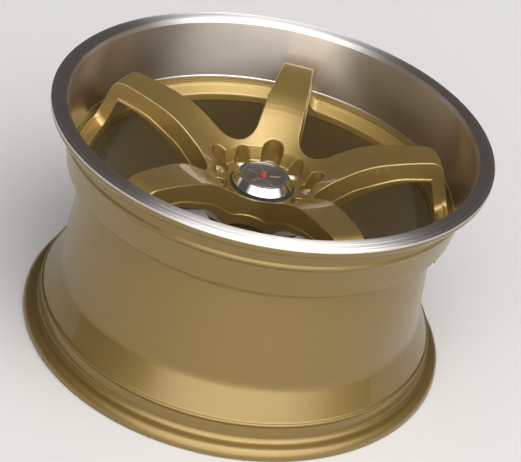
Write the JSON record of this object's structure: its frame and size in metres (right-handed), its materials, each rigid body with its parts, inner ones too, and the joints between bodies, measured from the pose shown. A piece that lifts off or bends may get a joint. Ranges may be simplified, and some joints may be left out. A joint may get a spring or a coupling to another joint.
{
  "type": "forged wheel rim",
  "caption": "Forged racing wheel with a deep machined lip, raised spokes on a stepped ring, dual lug circles, a clip-in centre cap and a clamp-in valve.",
  "frame": {"origin": "centre of the hub mounting face, on the wheel axis", "axes": "+Z along the wheel axis towards the outboard face, +Y along one spoke, valve 18 degrees from +X towards -Y"},
  "size_m": [0.497, 0.497, 0.2833],
  "materials": {
    "machined_lip": "satin turned aluminium, gold paint on the tyre side",
    "gold_paint": "metallic gold paint",
    "machined_seat": "machined",
    "dark_plastic": "matte",
    "cap_chrome": "polished",
    "emblem_face": "brushed, anodised grey-brown",
    "emblem_silver": "satin",
    "emblem_red": "gloss",
    "spring_steel": "drawn wire",
    "valve_metal": "nickel plated",
    "rubber": "matte",
    "brass": "turned"
  },
  "bodies": {
    "wheel": {"outer_lip": "machined_lip", "inner_barrel": "gold_paint", "forged_hub": "gold_paint", "forged_spokes": "gold_paint", "wide_lug_seats": "machined_seat", "narrow_lug_seats": "machined_seat", "valve_stem": "valve_metal", "valve_grommet": "rubber", "valve_washer": "valve_metal", "valve_nut": "valve_metal", "valve_core_body": "brass", "valve_core_seal": "rubber"},
    "centre_cap": {"cap_carrier": "dark_plastic", "cap_bezel": "cap_chrome", "emblem_disc": "emblem_face", "emblem_ring": "emblem_silver", "emblem_blades": "emblem_silver", "emblem_dot": "emblem_red", "cap_wire": "spring_steel"},
    "valve_pin": {"valve_core_pin": "brass", "valve_core_spring": "spring_steel"},
    "cap_gasket": {"valve_cap_gasket": "rubber"},
    "dust_cap": {"valve_dust_cap": "valve_metal"}
  },
  "joints": [
    {"name": "cap_pull", "type": "slide", "parent": "wheel", "child": "centre_cap", "axis": [0, 0, 1], "range_m": [0, 0.03]},
    {"name": "valve_press", "type": "slide", "parent": "wheel", "child": "valve_pin", "axis": [0.5855, -0.1902, -0.788], "range_m": [0, 0.0012], "stiffness_N_per_m": 600, "springref_m": -0.0008},
    {"name": "cap_lift", "type": "slide", "parent": "wheel", "child": "cap_gasket", "axis": [-0.5855, 0.1902, 0.788], "range_m": [0, 0.0039]},
    {"name": "cap_unscrew", "type": "hinge", "parent": "cap_gasket", "child": "dust_cap", "pos_m": [0.18298, -0.05945, 0.05969], "axis": [-0.5855, 0.1902, 0.788], "range_deg": [0, 1800]}
  ],
  "couplings": [
    {"joint": "cap_unscrew", "follows": "cap_lift", "rad_per_m": 7915.8}
  ]
}
